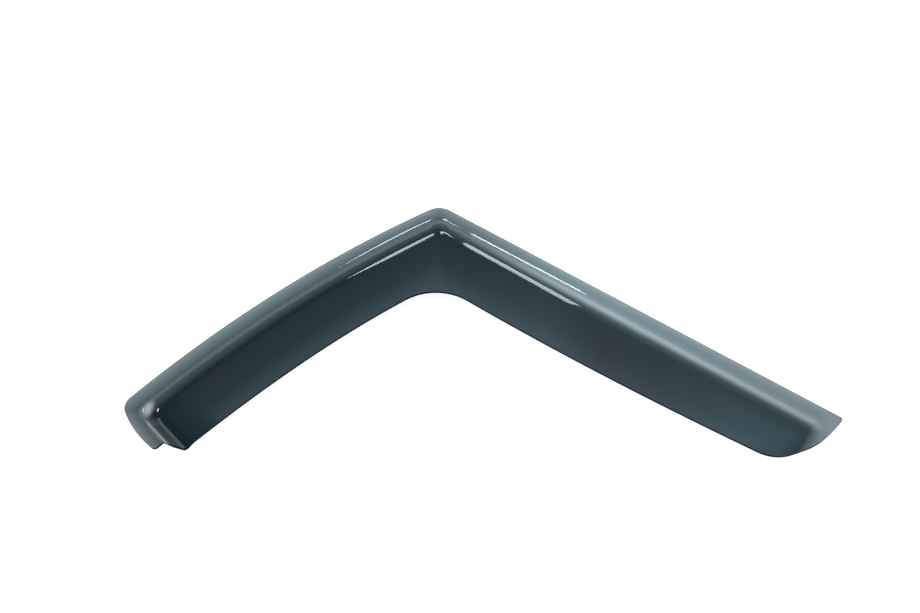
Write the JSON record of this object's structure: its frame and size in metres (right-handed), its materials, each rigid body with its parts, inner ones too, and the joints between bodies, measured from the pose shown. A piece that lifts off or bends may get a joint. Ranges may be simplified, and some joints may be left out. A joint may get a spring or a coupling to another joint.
{
  "type": "window rain deflector",
  "caption": "Smoked acrylic window rain deflector for a vehicle door: a flat bonding flange, a sloping wall and a raised panel along two arms that meet at the corner of the window.",
  "frame": {"origin": "centre of the bounding box in plan, on the underside of the flange", "axes": "+Z is out of the flange's bonding face towards the raised panel, +Y runs from between the arms to their corner, +X towards the toe of the long arm"},
  "size_m": [0.7574, 0.3266, 0.022],
  "materials": {
    "smoked_acrylic": "polished, see-through, grey smoke tint"
  },
  "bodies": {
    "root": {"deflector_shell": "smoked_acrylic"}
  },
  "joints": []
}
